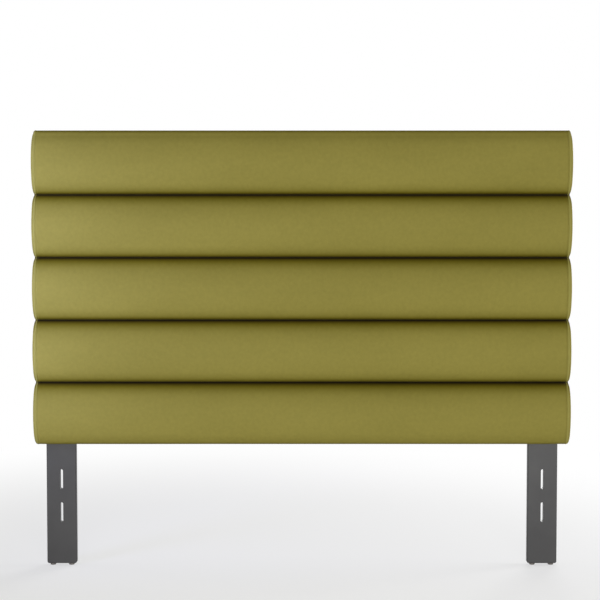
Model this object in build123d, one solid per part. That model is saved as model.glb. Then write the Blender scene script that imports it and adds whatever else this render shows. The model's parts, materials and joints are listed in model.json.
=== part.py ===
"""Upholstered headboard: five stacked horizontal channels on a pine frame, carried by two slotted legs.

X runs to the right seen from the front, Y to the back and Z up. The origin is on the floor, midway between
the ends and midway between the front of the channels and the heads of the leg bolts. Left and right are
those of someone who looks at the front. All lengths are in millimetres.
"""

import math
import os

from build123d import *

# Whole object
overall_width = 1575.0
panel_bottom_z = 374.25
channel_count = 5
channel_pitch = 184.15

# Section of a channel, from its upper seam round the crown to its lower seam
bulge = 46.0
seam_wall = 3.0
upper_shoulder_deg = 48.0
upper_slope_deg = 24.0
upper_slope_r = 80.0
lower_slope_deg = 20.0
lower_slope_r = 80.0
lower_shoulder_deg = 52.0

# Upholstery layers
cover_t = 1.2
batting_t = 6.0
end_round_r = 6.0
end_flat_share = 2 - math.sqrt(2)
end_roll_width = 11.0
back_flange_width = 35.0
dust_cover_t = 0.6
dust_cover_margin = 15.0
dust_cover_hole_r = 6.0

# Pine frame
face_board_t = 5.0
stock_t = 19.0
seam_rail_width = 64.0
centre_stile_width = 64.0
corner_block_leg = 70.0

# Wood screws
screw_length = 50.0
screw_r = 2.0
screw_head_r = 4.0
screw_head_h = 2.6
screw_tip_h = 6.0
screw_flat_count = 8
corner_screw_spacing = 20.0

# Legs
leg_width = 89.0
leg_t = 19.0
leg_top_margin = 60.0
leg_top_corner_r = 16.0
leg_foot_corner_r = 6.0
leg_edge_chamfer = 2.0
height_travel = 51.0
slot_width = 9.0
slot_end_spare = 1.5
mount_slot_length = 60.0
mount_slot_low_z = 160.0
mount_slot_spacing = 100.0

# Glides
glide_r = 8.5
glide_h = 5.0
glide_edge = 1.2
glide_spacing = 56.0
glide_nail_r = 1.4
glide_nail_h = 14.0

# Leg bolts, washers and tee nuts
bolt_r = 4.0
bolt_length = 45.0
bolt_head_r = 7.0
bolt_head_h = 4.4
bolt_head_chamfer = 2.0
bolt_key_width = 5.0
bolt_key_depth = 2.6
washer_r = 12.0
washer_hole_r = 4.3
washer_t = 2.0
lock_washer_r = 7.4
lock_washer_t = 2.0
lock_washer_gap = 1.5
tee_nut_flange_r = 9.5
tee_nut_flange_t = 1.6
tee_nut_barrel_r = 5.0
tee_nut_barrel_h = 14.0
tee_nut_prong_count = 4
tee_nut_prong_width = 2.2
tee_nut_prong_t = 1.0
tee_nut_prong_h = 6.0

# Clearances
hole_clearance = 0.05
seam_gap = 0.4
least_round_r = 0.5
cut_overrun = 2.0

# Places in Z
overall_height = panel_bottom_z + channel_count * channel_pitch
frame_top_z = overall_height - cover_t
frame_bottom_z = panel_bottom_z + cover_t
rail_inner_top_z = frame_top_z - stock_t
rail_inner_bottom_z = frame_bottom_z + stock_t

# Places in Y, from the crown of the channels to the heads of the bolts
frame_depth = 2 * stock_t
total_depth = (
    bulge + face_board_t + frame_depth + cover_t + dust_cover_t + leg_t + washer_t + lock_washer_t + bolt_head_h
)
crown_y = -total_depth / 2
board_front_y = crown_y + bulge
board_back_y = board_front_y + face_board_t
post_front_y = board_back_y + stock_t
frame_back_y = board_back_y + frame_depth
flange_back_y = frame_back_y + cover_t
leg_front_y = flange_back_y + dust_cover_t
leg_back_y = leg_front_y + leg_t
washer_back_y = leg_back_y + washer_t
bolt_seat_y = washer_back_y + lock_washer_t

# Places in X
half_width = overall_width / 2
frame_half_width = half_width - cover_t
stile_inner_x = frame_half_width - stock_t
leg_x = stile_inner_x - leg_width / 2
sides = {"left": -1, "right": 1}


def seam_height(seam):
    """Height of the line below a channel. Seam 0 is the top edge, the last one the bottom edge."""
    return overall_height - seam * channel_pitch


def channel_span(channel):
    """Upper and lower limit of a channel in Z. Channel 1 is the top one. Neighbours leave the seam's gap."""
    top, bottom = seam_height(channel - 1), seam_height(channel)
    if channel > 1:
        top -= seam_gap / 2
    if channel < channel_count:
        bottom += seam_gap / 2
    return top, bottom


seam_heights = [seam_height(seam) for seam in range(1, channel_count)]
bolt_heights = [seam_height(channel - 1 / 2) for channel in (channel_count, channel_count - 1)]
mount_slot_heights = [mount_slot_low_z, mount_slot_low_z + mount_slot_spacing]
leg_top_z = bolt_heights[1] + height_travel + leg_top_margin


def block(low, high):
    """Box between two corners."""
    size = [b - a for a, b in zip(low, high)]
    return Pos(*low) * Box(*size, align=(Align.MIN, Align.MIN, Align.MIN))


def turned(points, at, direction):
    """Solid of revolution: points are (radius, distance along direction) from the place given by at."""
    outline = Plane.XZ * make_face(Polyline(*points, close=True))
    return Plane(origin=at, z_dir=direction) * revolve(outline, Axis.Z)


# Upholstery

def section_arcs(height):
    """Radius and turn of each arc round a channel's section, for a channel of the height given.

    Both walls at the seams have the length of seam_wall. The two shoulder radii and the crown radius follow
    from the bulge and the height, so that the section always closes on the next seam.
    """
    shoulder_u = math.radians(upper_shoulder_deg)
    crown_u = math.radians(upper_shoulder_deg + upper_slope_deg)
    shoulder_l = math.radians(lower_shoulder_deg)
    crown_l = math.radians(lower_shoulder_deg + lower_slope_deg)
    reach = bulge - seam_wall
    reach_u = reach - upper_slope_r * (math.sin(crown_u) - math.sin(shoulder_u))
    reach_l = reach - lower_slope_r * (math.sin(crown_l) - math.sin(shoulder_l))
    fall_u = upper_slope_r * (math.cos(shoulder_u) - math.cos(crown_u))
    fall_l = lower_slope_r * (math.cos(shoulder_l) - math.cos(crown_l))
    tan_u, tan_l = math.tan(shoulder_u / 2), math.tan(shoulder_l / 2)
    # A shoulder that reaches out by a length falls by that length times the tangent of half its turn
    left_over = height - fall_u - fall_l - reach_u * tan_u - reach_l * tan_l
    per_crown = (
        math.cos(crown_u) + math.cos(crown_l)
        - (1 - math.sin(crown_u)) * tan_u - (1 - math.sin(crown_l)) * tan_l
    )
    crown_r = left_over / per_crown
    upper_shoulder_r = (reach_u - crown_r * (1 - math.sin(crown_u))) / math.sin(shoulder_u)
    lower_shoulder_r = (reach_l - crown_r * (1 - math.sin(crown_l))) / math.sin(shoulder_l)
    crown_deg = 180 - upper_shoulder_deg - upper_slope_deg - lower_slope_deg - lower_shoulder_deg
    return [
        (upper_shoulder_r, upper_shoulder_deg),
        (upper_slope_r, upper_slope_deg),
        (crown_r, crown_deg),
        (lower_slope_r, lower_slope_deg),
        (lower_shoulder_r, lower_shoulder_deg),
    ]


def channel_face(channel, inset):
    """Closed section of one channel, parallel to its outside at a distance of inset."""
    top_z, bottom_z = channel_span(channel)
    top, bottom = (board_front_y, top_z - inset), (board_front_y, bottom_z + inset)
    run = [Line(top, (board_front_y - seam_wall, top[1]))]
    for radius, turn in section_arcs(top_z - bottom_z):
        run.append(JernArc(start=run[-1] @ 1, tangent=run[-1] % 1, radius=radius - inset, arc_size=turn))
    run.append(Line(run[-1] @ 1, bottom))
    run.append(Line(bottom, top))
    return Plane.YZ * make_face(run)


def bolster(channel, inset):
    """One channel as a solid, inset all round, with the edges of its two ends rounded.

    An inner surface has a chamfer there instead, which touches the rounding parallel to the outside.
    """
    solid = extrude(channel_face(channel, inset), half_width - inset, both=True)
    rounding = end_round_r - inset
    if rounding < least_round_r:
        return solid
    edges = [edge for face in solid.faces().filter_by(Axis.X) for edge in face.edges()]
    edges = [edge for edge in edges if edge.center().Y < board_front_y - least_round_r]
    if inset == 0:
        return fillet(edges, rounding)
    return chamfer(edges, end_flat_share * rounding)


def slab(from_x, to_x):
    """Everything between two planes across X, to cut a skin into lengths."""
    return block((from_x, crown_y - cut_overrun, 0), (to_x, leg_back_y, overall_height + cut_overrun))


def channel_skin(channel):
    return bolster(channel, 0) - bolster(channel, cover_t)


def wrap_round_frame(half_x, flange_half_x, sign):
    """Strip of a cover that runs from a channel over the top or bottom rail and down the back."""
    edge_z = overall_height if sign > 0 else panel_bottom_z
    rows = sorted((edge_z, edge_z - sign * cover_t))
    flange_rows = sorted((edge_z, edge_z - sign * back_flange_width))
    over = block((-half_x, board_front_y, rows[0]), (half_x, frame_back_y, rows[1]))
    down = block((-flange_half_x, frame_back_y, flange_rows[0]), (flange_half_x, flange_back_y, flange_rows[1]))
    return over + down


def make_cover(channel):
    cover = channel_skin(channel) & slab(-half_width + end_roll_width, half_width - end_roll_width)
    flange_half_x = half_width - back_flange_width
    if channel == 1:
        cover += wrap_round_frame(frame_half_width, flange_half_x, 1)
    if channel == channel_count:
        cover += wrap_round_frame(frame_half_width, flange_half_x, -1)
    return cover


def make_batting(channel):
    return bolster(channel, cover_t) - bolster(channel, cover_t + batting_t)


def make_foam(channel):
    return bolster(channel, cover_t + batting_t)


def make_side_cover(side):
    """Boxing over one end: a rolled edge round each channel's end, the side of the frame and a back flange."""
    outer, roll = side * half_width, side * (half_width - end_roll_width)
    inner, flange = side * frame_half_width, side * (half_width - back_flange_width)
    rolls = slab(*sorted((outer + side * cut_overrun, roll)))
    cover = block(
        (min(outer, inner), board_front_y, panel_bottom_z), (max(outer, inner), frame_back_y, overall_height)
    )
    cover += block(
        (min(outer, flange), frame_back_y, panel_bottom_z), (max(outer, flange), flange_back_y, overall_height)
    )
    for channel in range(1, channel_count + 1):
        cover += channel_skin(channel) & rolls
    return cover


def make_dust_cover():
    half_x = half_width - dust_cover_margin
    sheet = block(
        (-half_x, flange_back_y, panel_bottom_z + dust_cover_margin),
        (half_x, leg_front_y, overall_height - dust_cover_margin),
    )
    return sheet - across_depth(bolt_places(), dust_cover_hole_r)


# Frame

def bolt_places():
    """X and Z of the leg bolts."""
    return [(side * leg_x, z) for side in sides.values() for z in bolt_heights]


def across_depth(places, radius):
    """Round cutters through the whole depth at the places given."""
    length = total_depth + 2 * cut_overrun
    return [Pos(x, 0, z) * Rot(90, 0, 0) * Cylinder(radius, length) for x, z in places]


def screw_places():
    """Head and direction of each frame screw: rails into uprights, and stiles into seam rails."""
    middle_y = (board_back_y + frame_back_y) / 2
    post_y = (post_front_y + frame_back_y) / 2
    seam_y = (board_back_y + post_front_y) / 2
    stile_x = (stile_inner_x + frame_half_width) / 2
    down, up = (0, 0, -1), (0, 0, 1)
    places = []
    for z, direction in ((frame_top_z, down), (frame_bottom_z, up)):
        for side in sides.values():
            for offset in (-corner_screw_spacing / 2, corner_screw_spacing / 2):
                places.append(((side * stile_x, middle_y + offset, z), direction))
            places.append(((side * leg_x, post_y, z), direction))
        places.append(((0, post_y, z), direction))
    for side in sides.values():
        places += [((side * frame_half_width, seam_y, z), (-side, 0, 0)) for z in seam_heights]
    return places


def make_screw(at, direction, room):
    """Countersunk wood screw with flats round it, grown by room where it is the cutter for its own hole."""
    rings = [(screw_head_r, 0), (screw_r, screw_head_h), (screw_r, screw_length - screw_tip_h)]
    sections = [Pos(0, 0, along) * RegularPolygon(radius + room, screw_flat_count) for radius, along in rings]
    screw = loft(sections + [Vertex(0, 0, screw_length + room)], ruled=True)
    return Plane(origin=at, z_dir=direction) * screw


def make_screws(room):
    return [make_screw(at, direction, room) for at, direction in screw_places()]


def make_rail(low_z, high_z):
    return block((-frame_half_width, board_back_y, low_z), (frame_half_width, frame_back_y, high_z))


def make_stile(side):
    low, high = sorted((side * stile_inner_x, side * frame_half_width))
    return block((low, board_back_y, rail_inner_bottom_z), (high, frame_back_y, rail_inner_top_z))


def make_upright(middle_x, width):
    """Board at the back of the frame, from rail to rail."""
    low, high = middle_x - width / 2, middle_x + width / 2
    return block((low, post_front_y, rail_inner_bottom_z), (high, frame_back_y, rail_inner_top_z))


def make_seam_rail(z):
    half = seam_rail_width / 2
    return block((-stile_inner_x, board_back_y, z - half), (stile_inner_x, post_front_y, z + half))


def make_face_board():
    return block(
        (-frame_half_width, board_front_y, frame_bottom_z), (frame_half_width, board_back_y, frame_top_z)
    )


def make_corner_block(side, corner_z, inward):
    """Triangular glue block in the front half of one corner of the frame."""
    x = side * stile_inner_x
    outline = Polyline(
        (x, corner_z),
        (x - side * corner_block_leg, corner_z),
        (x, corner_z + inward * corner_block_leg),
        close=True,
    )
    prism = extrude(make_face(Plane.XZ * outline), stock_t, dir=(0, 1, 0))
    return Pos(0, board_back_y, 0) * prism


def make_corner_blocks():
    return [
        make_corner_block(side, z, inward)
        for side in sides.values()
        for z, inward in ((rail_inner_top_z, -1), (rail_inner_bottom_z, 1))
    ]


# Hardware, each piece turned about its own bolt

def hexagon_cutter(at_y, x, z):
    """Hexagon key recess, sunk from the back."""
    outline = RegularPolygon(bolt_key_width / 2, 6, major_radius=False)
    recess = extrude(outline, bolt_key_depth + cut_overrun)
    return Plane(origin=(x, at_y + cut_overrun, z), z_dir=(0, -1, 0)) * recess


def make_bolt(x, z):
    """Button head bolt with a hexagon recess. Its head bears on the lock washer."""
    points = [
        (0, -bolt_length),
        (bolt_r, -bolt_length),
        (bolt_r, 0),
        (bolt_head_r, 0),
        (bolt_head_r, bolt_head_h - bolt_head_chamfer),
        (bolt_head_r - bolt_head_chamfer, bolt_head_h),
        (0, bolt_head_h),
    ]
    bolt = turned(points, (x, bolt_seat_y, z), (0, 1, 0))
    return bolt - hexagon_cutter(bolt_seat_y + bolt_head_h, x, z)


def make_ring(x, z, front_y, outer_r, inner_r, thickness):
    points = [(inner_r, 0), (outer_r, 0), (outer_r, thickness), (inner_r, thickness)]
    return turned(points, (x, front_y, z), (0, 1, 0))


def make_washer(x, z):
    return make_ring(x, z, leg_back_y, washer_r, washer_hole_r, washer_t)


def make_lock_washer(x, z):
    """Spring washer with its slit at the top."""
    ring = make_ring(x, z, washer_back_y, lock_washer_r, bolt_r + hole_clearance, lock_washer_t)
    half_gap = lock_washer_gap / 2
    slit = block(
        (x - half_gap, washer_back_y - cut_overrun, z),
        (x + half_gap, bolt_seat_y + cut_overrun, z + lock_washer_r + cut_overrun),
    )
    return ring - slit


def tee_nut_prongs(x, z):
    """Prongs that are driven into the front of the leg post, spaced evenly under the flange's rim."""
    reach = tee_nut_flange_r - tee_nut_prong_t
    prongs = []
    for turn in range(tee_nut_prong_count):
        angle = (turn + 1 / 2) * 360 / tee_nut_prong_count
        prong = Pos(reach, 0, 0) * Box(
            tee_nut_prong_t, tee_nut_prong_width, tee_nut_prong_h, align=(Align.CENTER, Align.CENTER, Align.MIN)
        )
        prongs.append(Plane(origin=(x, post_front_y, z), z_dir=(0, 1, 0)) * Rot(0, 0, angle) * prong)
    return prongs


def make_tee_nut(x, z):
    """Flange on the front of the leg post, with a barrel and prongs that go back into it."""
    flange_y = post_front_y - tee_nut_flange_t
    bore = bolt_r + hole_clearance
    flange = make_ring(x, z, flange_y, tee_nut_flange_r, bore, tee_nut_flange_t)
    barrel = make_ring(x, z, post_front_y, tee_nut_barrel_r, bore, tee_nut_barrel_h)
    return flange + barrel + tee_nut_prongs(x, z)


def make_leg_post(side):
    post = make_upright(side * leg_x, leg_width)
    places = [(x, z) for x, z in bolt_places() if x * side > 0]
    post -= across_depth(places, tee_nut_barrel_r + hole_clearance)
    return post - [prong for x, z in places for prong in tee_nut_prongs(x, z)]


# Legs

def slot_cutter(x, z, length):
    """Upright slot through a leg."""
    outline = Plane.XZ * Pos(x, z) * SlotOverall(length, slot_width, rotation=90)
    return Pos(0, leg_back_y + cut_overrun, 0) * extrude(outline, leg_t + 2 * cut_overrun, dir=(0, -1, 0))


def glide_places(side):
    return [side * leg_x + offset for offset in (-glide_spacing / 2, glide_spacing / 2)]


def make_glide(x, room):
    """Nail-on glide, or its nail alone, grown by room, as the cutter for the hole in the leg."""
    middle = (x, (leg_front_y + leg_back_y) / 2, 0)
    nail = [
        (0, glide_h),
        (glide_nail_r + room, glide_h),
        (glide_nail_r + room, glide_h + glide_nail_h + room),
        (0, glide_h + glide_nail_h + room),
    ]
    if room:
        return turned(nail, middle, (0, 0, 1))
    foot = [(0, 0), (glide_r - glide_edge, 0), (glide_r, glide_edge), (glide_r, glide_h)]
    return turned(foot + nail[1:], middle, (0, 0, 1))


def make_leg(side):
    """Board with rounded corners and eased edges, two slots for the leg bolts and two to mount it by."""
    x = side * leg_x
    length = leg_top_z - glide_h
    board = Pos(x, glide_h + length / 2) * Rectangle(leg_width, length)
    corners = board.vertices().sort_by(Axis.Y)
    board = fillet(corners[2:], leg_top_corner_r)
    board = fillet(board.vertices().sort_by(Axis.Y)[:2], leg_foot_corner_r)
    leg = Pos(0, leg_back_y, 0) * extrude(Plane.XZ * board, leg_t, dir=(0, -1, 0))
    flat = leg.faces().filter_by(Axis.Y)
    leg = chamfer([edge for face in flat for edge in face.edges()], leg_edge_chamfer)
    bolt_slot_length = 2 * (height_travel + slot_end_spare) + slot_width
    leg -= [slot_cutter(x, z, bolt_slot_length) for z in bolt_heights]
    leg -= [slot_cutter(x, z, mount_slot_length) for z in mount_slot_heights]
    return leg - [make_glide(place, hole_clearance) for place in glide_places(side)]


# The whole set of pieces, by name

def make_frame():
    holes = make_screws(hole_clearance)
    frame = {
        "face_board": make_face_board(),
        "top_rail": make_rail(rail_inner_top_z, frame_top_z) - holes,
        "bottom_rail": make_rail(frame_bottom_z, rail_inner_bottom_z) - holes,
        "centre_stile": make_upright(0, centre_stile_width) - holes,
        "corner_blocks": make_corner_blocks(),
        "frame_screws": make_screws(0),
    }
    for name, side in sides.items():
        frame[f"{name}_stile"] = make_stile(side) - holes
        frame[f"{name}_leg_post"] = make_leg_post(side) - holes
    for number, z in enumerate(seam_heights, 1):
        frame[f"seam_rail_{number}"] = make_seam_rail(z) - holes
    return frame


def make_upholstery():
    pieces = {"dust_cover": make_dust_cover()}
    for channel in range(1, channel_count + 1):
        pieces[f"channel_foam_{channel}"] = make_foam(channel)
        pieces[f"channel_batting_{channel}"] = make_batting(channel)
        pieces[f"channel_cover_{channel}"] = make_cover(channel)
    for name, side in sides.items():
        pieces[f"{name}_side_cover"] = make_side_cover(side)
    return pieces


def make_hardware():
    makers = {
        "tee_nuts": make_tee_nut,
        "leg_bolts": make_bolt,
        "flat_washers": make_washer,
        "lock_washers": make_lock_washer,
    }
    return {name: [make(x, z) for x, z in bolt_places()] for name, make in makers.items()}


def make_legs():
    legs = {}
    for name, side in sides.items():
        legs[f"{name}_leg"] = make_leg(side)
        legs[f"{name}_leg_glides"] = [make_glide(x, 0) for x in glide_places(side)]
    return legs


def solids_in(piece):
    pieces = piece if isinstance(piece, list) else [piece]
    return [solid for one in pieces for solid in one.solids()]


os.makedirs("parts", exist_ok=True)
for node, piece in {**make_frame(), **make_upholstery(), **make_hardware(), **make_legs()}.items():
    export_step(Compound(solids_in(piece)), f"parts/{node}.step")
print("arcs round a channel:", [(round(r, 1), turn) for r, turn in section_arcs(channel_pitch)])
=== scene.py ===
# %% [markdown]
# # A headboard with five upholstered channels
#
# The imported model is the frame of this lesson: it holds every rigid piece at its real size, and a plain solid
# for each soft one. Rigid pieces keep their solids and only get a finish. The soft pieces are made again
# here, as cloth and padding, in the space that their solids hold.

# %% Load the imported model
import json
import math
import random

import bmesh
import bpy
from mathutils import Matrix, Vector, noise


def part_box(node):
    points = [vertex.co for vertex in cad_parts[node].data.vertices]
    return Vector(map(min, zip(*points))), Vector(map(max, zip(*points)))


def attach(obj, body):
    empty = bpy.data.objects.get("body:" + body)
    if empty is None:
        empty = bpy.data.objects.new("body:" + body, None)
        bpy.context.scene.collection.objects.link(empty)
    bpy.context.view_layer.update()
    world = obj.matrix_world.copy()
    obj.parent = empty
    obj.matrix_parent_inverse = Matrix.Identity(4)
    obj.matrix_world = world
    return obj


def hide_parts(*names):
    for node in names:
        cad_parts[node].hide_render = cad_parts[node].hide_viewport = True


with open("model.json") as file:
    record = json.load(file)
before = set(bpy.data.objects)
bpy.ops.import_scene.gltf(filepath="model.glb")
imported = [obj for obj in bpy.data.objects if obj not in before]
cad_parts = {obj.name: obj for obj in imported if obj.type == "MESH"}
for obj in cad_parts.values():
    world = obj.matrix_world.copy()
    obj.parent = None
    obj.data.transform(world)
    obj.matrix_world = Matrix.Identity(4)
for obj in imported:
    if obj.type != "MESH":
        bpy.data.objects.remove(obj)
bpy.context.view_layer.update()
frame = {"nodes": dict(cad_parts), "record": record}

MM = 0.001

# %% [markdown]
# ## Where things are
#
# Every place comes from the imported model, so a new piece fits without any nudging. X runs along the channels,
# Y from the front to the back and Z up. The front faces -Y.

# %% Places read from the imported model
covers = sorted(name for name in frame["nodes"] if name.startswith("channel_cover_"))
spans = [(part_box(name)[0].z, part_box(name)[1].z) for name in covers]
panel_bottom, panel_top = spans[-1][0], spans[0][1]
middle_z = (panel_top + panel_bottom) / 2
seams = [(spans[i][0] + spans[i + 1][1]) / 2 for i in range(len(spans) - 1)]
edges_z = [panel_top, *seams, panel_bottom]
half_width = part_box("right_side_cover")[1].x
crown_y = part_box("channel_cover_2")[0].y
board_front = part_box("face_board")[0].y
flange_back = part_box("right_side_cover")[1].y
leg_low, leg_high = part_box("right_leg")
leg_x = (leg_low.x + leg_high.x) / 2
leg_half = leg_x - leg_low.x
channel_height = edges_z[0] - edges_z[1]
print("channels:", len(covers), "each", round(channel_height, 4), "high; half the width", round(half_width, 4))

# %% [markdown]
# ## Sweeping a line along a path
#
# Upholstery is a skin pulled round a shape, so nearly every soft piece here is one line of edges carried
# along a path seen from the side. On straight stretches the line is extruded and moved, on round ones the
# spin operator turns it about the centre of the arc. A path is a list of steps: (length, 0) goes straight and
# (radius, degrees) turns. `facing` is the angle of the outward side: 0 is up, 90 the front, 180 down and -90
# the back, so the line travels forward, down, back and up again.

# %% A line of edges and the path that carries it
least_arc_steps = 4


def straight_line(bm, low, high, cuts):
    """A line of edges between two points, as the geometry that a sweep starts from."""
    ends = [bm.verts.new(low), bm.verts.new(high)]
    edge = bm.edges.new(ends)
    made = bmesh.ops.subdivide_edges(bm, edges=[edge], cuts=cuts)["geom_split"]
    edges = [e for e in made if isinstance(e, bmesh.types.BMEdge)]
    return sorted({v for e in edges for v in e.verts}, key=lambda v: v.co.x) + edges


def outward(facing):
    return Vector((0, -math.sin(math.radians(facing)), math.cos(math.radians(facing))))


def onward(facing):
    return Vector((0, -math.cos(math.radians(facing)), -math.sin(math.radians(facing))))


def push(bm, line, move):
    """Extrudes a line of edges and moves the new line."""
    edges = [e for e in line if isinstance(e, bmesh.types.BMEdge)]
    made = bmesh.ops.extrude_edge_only(bm, edges=edges)["geom"]
    bmesh.ops.translate(bm, vec=move, verts=[v for v in made if isinstance(v, bmesh.types.BMVert)])
    return [g for g in made if not isinstance(g, bmesh.types.BMFace)]


def sweep(bm, line, place, facing, path, spacing):
    """Carries a line along a path and returns where it ended: the line, its place and the way it faces."""
    for size, turn in path:
        if turn:
            count = max(least_arc_steps, round(size * math.radians(turn) / spacing))
            centre = place - outward(facing) * size
            made = bmesh.ops.spin(
                bm, geom=line, cent=centre, axis=(1, 0, 0), angle=math.radians(turn), steps=count
            )
            line, facing = made["geom_last"], facing + turn
            place = centre + outward(facing) * size
        else:
            count = max(1, round(size / spacing))
            for _ in range(count):
                line = push(bm, line, onward(facing) * size / count)
            place = place + onward(facing) * size
    return line, place, facing


# %% [markdown]
# ## The section of a channel
#
# A channel is foam and batting under velvet that is pulled down to a rail at each seam. Its section is full
# and a little heavier below: two tight shoulders, two slopes and a long flat crown. The two slopes have set
# radii. The shoulders and the crown follow, so that the section closes on the next seam, as in the solids.

# %% Arcs round a channel
seam_wall = 3 * MM
upper_shoulder, upper_slope, lower_slope, lower_shoulder = 48, 24, 20, 52
upper_slope_r, lower_slope_r = 80 * MM, 80 * MM


def section_arcs(height, bulge):
    """(radius, degrees) of the five arcs from the upper seam to the lower one."""
    shoulder_u, shoulder_l = math.radians(upper_shoulder), math.radians(lower_shoulder)
    crown_u, crown_l = shoulder_u + math.radians(upper_slope), shoulder_l + math.radians(lower_slope)
    reach_u = bulge - seam_wall - upper_slope_r * (math.sin(crown_u) - math.sin(shoulder_u))
    reach_l = bulge - seam_wall - lower_slope_r * (math.sin(crown_l) - math.sin(shoulder_l))
    fall = upper_slope_r * (math.cos(shoulder_u) - math.cos(crown_u))
    fall += lower_slope_r * (math.cos(shoulder_l) - math.cos(crown_l))
    tan_u, tan_l = math.tan(shoulder_u / 2), math.tan(shoulder_l / 2)
    left_over = height - fall - reach_u * tan_u - reach_l * tan_l
    slack_u, slack_l = 1 - math.sin(crown_u), 1 - math.sin(crown_l)
    crown_r = left_over / (math.cos(crown_u) + math.cos(crown_l) - slack_u * tan_u - slack_l * tan_l)
    upper_shoulder_r = (reach_u - crown_r * slack_u) / math.sin(shoulder_u)
    lower_shoulder_r = (reach_l - crown_r * slack_l) / math.sin(shoulder_l)
    crown = 180 - upper_shoulder - upper_slope - lower_slope - lower_shoulder
    return [
        (upper_shoulder_r, upper_shoulder),
        (upper_slope_r, upper_slope),
        (crown_r, crown),
        (lower_slope_r, lower_slope),
        (lower_shoulder_r, lower_shoulder),
    ]


def channel_path():
    """Out from the board along one seam, round the channel and back to the board along the next seam."""
    arcs = section_arcs(channel_height, board_front - crown_y)
    return [(seam_wall, 0), *arcs, (seam_wall, 0)]


print("arcs:", [(round(size / MM, 1), turn) for size, turn in channel_path()])

# %% [markdown]
# ## Softening
#
# A swept skin is too perfect. Padding swells unevenly, cloth is drawn in where it is sewn, and it puckers
# there. Each point of the skin is moved along its own outward direction by a height that depends on how far
# it is from the nearest sewing. The noise is the same in every run.

# %% Smooth steps, noise and moving points along their normals
def smooth_share(value, start, end):
    """0 before start, 1 after end, with a soft step between them."""
    share = min(1, max(0, (value - start) / (end - start)))
    return share * share * (3 - 2 * share)


def hump(value, middle, width):
    """A rounded bump of height 1 at the middle, which fades to nothing about two widths away."""
    return math.exp(-(((value - middle) / width) ** 2))


def ripple(place, height, size, seed):
    """Smooth noise between about -height and height, with bumps of the size given on each axis."""
    return height * noise.noise(Vector((place.x / size[0] + seed, place.y / size[1], place.z / size[2])))


def soften(bm, move_of):
    """Moves every point by move_of(point), all at once."""
    bm.normal_update()
    moves = [(vert, move_of(vert)) for vert in bm.verts]
    for vert, move in moves:
        vert.co += move


def nearest_seam(place):
    """Distance in Z to the nearest seam between two channels."""
    return min(abs(place.z - z) for z in seams)


# %% [markdown]
# ## From a bmesh to a piece
#
# A finished skin is merged, its faces are turned outwards and it becomes an object at the origin. A Solidify
# modifier gives the cloth its thickness, inwards from the skin.

# %% Finish a skin
cloth_t = 1.2 * MM
merge_distance = 0.02 * MM


def facing_out(bm, inside):
    """Turns all faces the same way, and outwards as seen from a point inside."""
    bmesh.ops.recalc_face_normals(bm, faces=bm.faces)
    outwards = sum(f.normal.dot(f.calc_center_median() - inside) * f.calc_area() for f in bm.faces)
    if outwards < 0:
        bmesh.ops.reverse_faces(bm, faces=bm.faces)


def bevel(bm, edges, width, segments):
    bmesh.ops.bevel(bm, geom=edges, offset=width, segments=segments, affect="EDGES", profile=0.5, material=-1)


def keep_on_points(piece, name, value_of):
    """Keeps a value on each point of a piece, for its material to read."""
    kept = piece.data.attributes.new(name, "FLOAT", "POINT")
    kept.data.foreach_set("value", [value_of(vert) for vert in piece.data.vertices])


def finish_mesh(bm, name, material, body="panel"):
    """Makes the bmesh a smooth shaded object that rides on a body."""
    mesh = bpy.data.meshes.new(name)
    for face in bm.faces:
        face.smooth = True
    bm.to_mesh(mesh)
    bm.free()
    piece = bpy.data.objects.new(name, mesh)
    bpy.context.scene.collection.objects.link(piece)
    mesh.materials.append(material)
    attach(piece, body)
    return piece


def thicken(piece, thickness):
    solidify = piece.modifiers.new("cloth thickness", "SOLIDIFY")
    solidify.thickness = thickness
    solidify.offset = -1
    return piece


# %% [markdown]
# ## Painted shade
#
# The velvet is painted darker where shade would fall: in the seams, at the top edge, and where the cloth
# turns up or down. That follows the shape, so each point of a cover keeps a painted shade of its own. Each
# darkening has a strength and a distance over which it fades.

# %% Painted shade in the seams, at the top edge and on the turned shoulders
top_padding = 4.2 * MM
shade_turn_power, shade_turn_floor, shade_on_frame = 0.6, 0.5, 0.8
frame_before, frame_behind, shade_behind = 1 * MM, 12 * MM, 6 * MM
# strength and fading distance of the painted shade under a seam, over a seam and at the top edge
under_seam, under_fade = 0.97, 15 * MM
over_seam, over_fade = 0.75, 8 * MM
at_top, top_fade = 0.35, 7 * MM


def painted_shade(vert):
    """Painted shade: 1 in the open, and darker where the velvet turns up or down, at the top edge and in the
    seams.
    """
    place = vert.co
    level = math.sqrt(max(0, 1 - vert.normal.z ** 2))
    on_frame = smooth_share(place.y, board_front - frame_before, board_front + frame_behind)
    turned = max(level ** shade_turn_power, shade_turn_floor, on_frame * shade_on_frame)
    under = min((z - place.z for z in seams if z > place.z), default=1)
    over = min((place.z - z for z in seams if z <= place.z), default=1)
    from_top = max(0, panel_top + top_padding - place.z)
    painted_darkening = 1 - under_seam * math.exp(-under / under_fade)
    painted_darkening *= 1 - over_seam * math.exp(-over / over_fade)
    painted_darkening *= 1 - at_top * math.exp(-from_top / top_fade)
    near_front = smooth_share(board_front - place.y, -shade_behind, 0)
    return turned * (1 - near_front * (1 - painted_darkening))


# %% [markdown]
# ## Materials by code
#
# A material is a small tree of nodes. These helpers add a node with its settings and connect it, so that each
# recipe below reads from the pattern to the surface. All patterns use Object coordinates: the pieces sit at
# the origin, so a pattern has the same scale on every piece and stays with it when it moves.

# %% Helpers for material nodes
def new_material(name):
    material = bpy.data.materials.new(name)
    material.use_nodes = True
    tree = material.node_tree
    return material, tree, tree.nodes["Principled BSDF"]


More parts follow.
